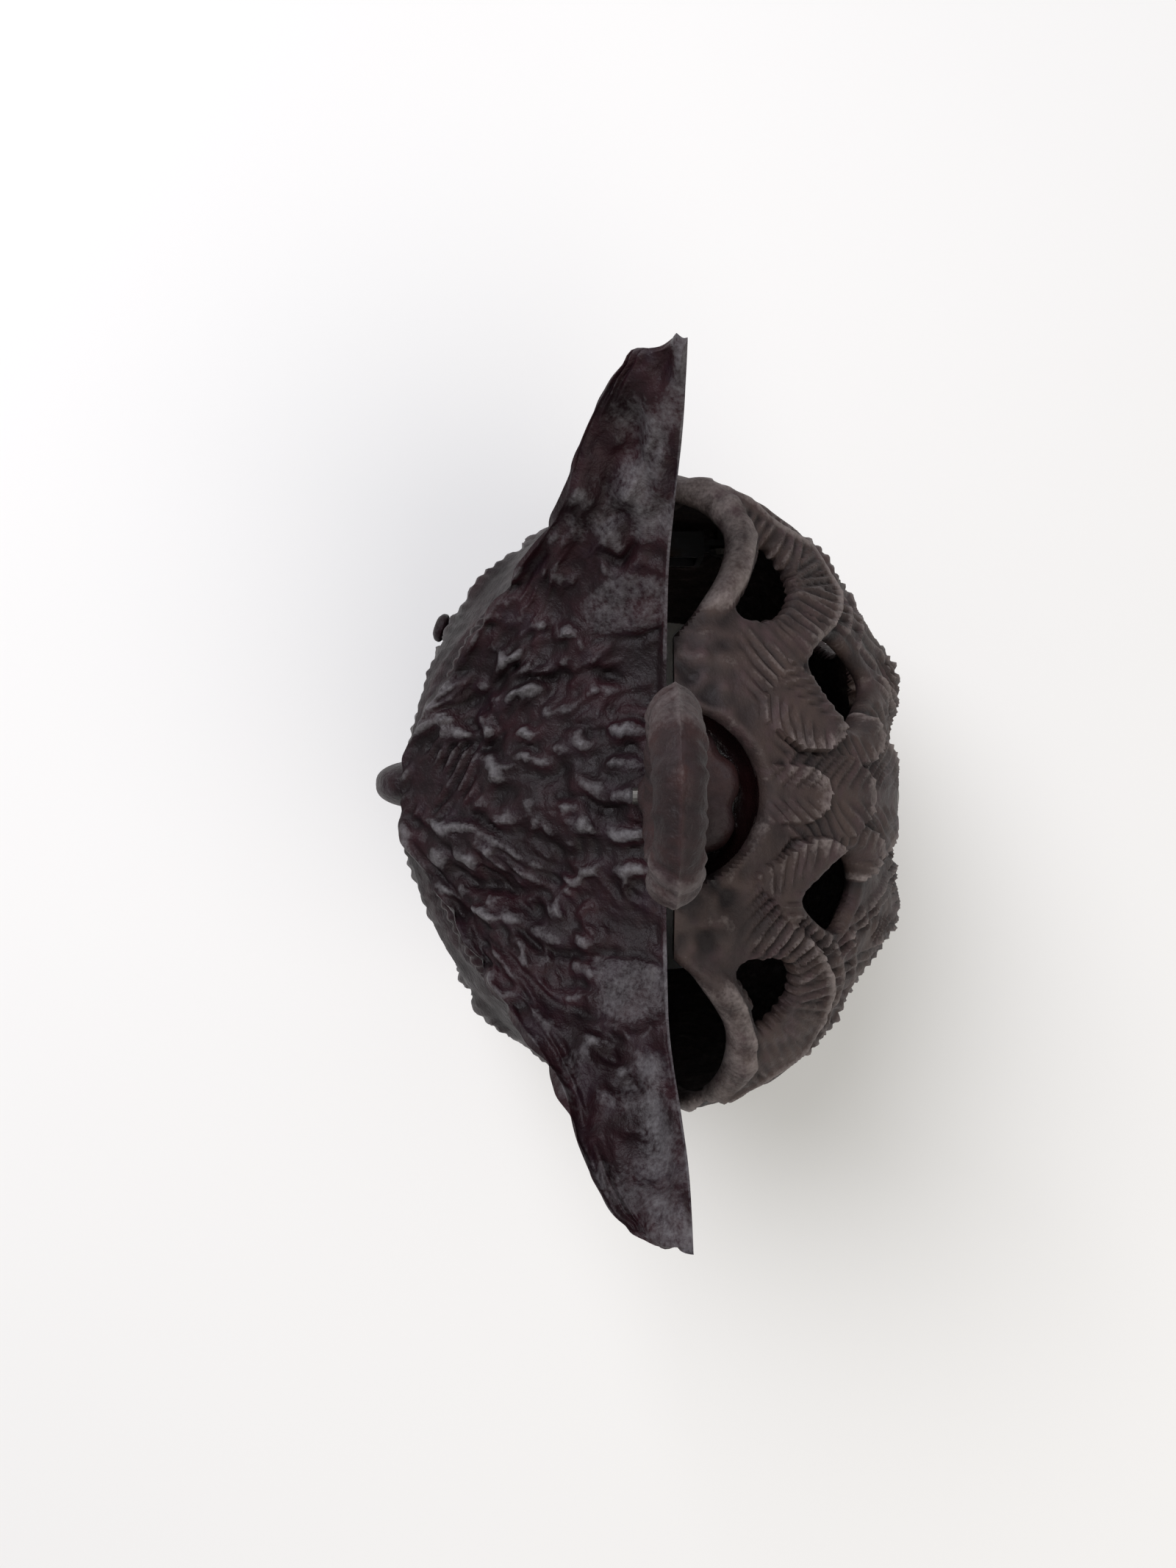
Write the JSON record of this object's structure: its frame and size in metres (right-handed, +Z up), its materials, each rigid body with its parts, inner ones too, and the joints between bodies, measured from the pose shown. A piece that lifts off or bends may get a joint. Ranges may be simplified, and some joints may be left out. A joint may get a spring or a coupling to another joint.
{
  "type": "nutcracker",
  "caption": "Screw nutcracker cased in a hollow cast-iron owl: solid front door on a side hinge, openwork back, ring grip on top.",
  "frame": {"origin": "middle of the base of the whole object's bounding box, on the surface that it stands on", "axes": "+Z up; the owl's face looks along -Y; the door's hinge is on the +X side"},
  "size_m": [0.1232, 0.1092, 0.186],
  "materials": {
    "dark_iron": "sand cast, lacquered, dark brown-purple with grey worn highlights",
    "brown_iron": "sand cast, matte grey-brown",
    "black_iron": "sand cast, blackened",
    "steel": "turned",
    "spring_steel": "blued spring strip"
  },
  "bodies": {
    "body": {"back_shell": "brown_iron", "press_frame": "black_iron", "frame_screw_lower": "steel", "frame_screw_upper": "steel", "threaded_bush": "brown_iron", "catch_clip": "spring_steel", "clip_rivet": "steel", "hinge_pin_lower": "steel", "hinge_pin_upper": "steel"},
    "door": {"front_shell": "dark_iron", "pull_knob": "dark_iron", "knob_nut": "steel", "catch_tongue": "steel", "tongue_rivet": "steel"},
    "pad": {"pressure_pad": "black_iron", "pad_screw": "steel"},
    "screw": {"spindle": "steel", "ring_grip": "brown_iron", "grip_pin": "steel"},
    "cup": {"nut_cup": "black_iron"}
  },
  "joints": [
    {"name": "door_swing", "type": "hinge", "parent": "body", "child": "door", "pos_m": [0.05844, -0.00423, 0], "axis": [0, 0, 1], "range_deg": [0, 100]},
    {"name": "pad_travel", "type": "slide", "parent": "body", "child": "pad", "axis": [0, 0, 1], "range_m": [0, 0.03]},
    {"name": "screw_turn", "type": "hinge", "parent": "pad", "child": "screw", "pos_m": [-0.00306, -0.00513, 0.1714], "axis": [0, 0, 1], "range_deg": [0, 1800]},
    {"name": "cup_lift", "type": "slide", "parent": "body", "child": "cup", "axis": [0, 0, 1], "range_m": [0, 0.008]}
  ],
  "couplings": [
    {"joint": "screw_turn", "follows": "pad_travel", "rad_per_m": 1047.2}
  ]
}
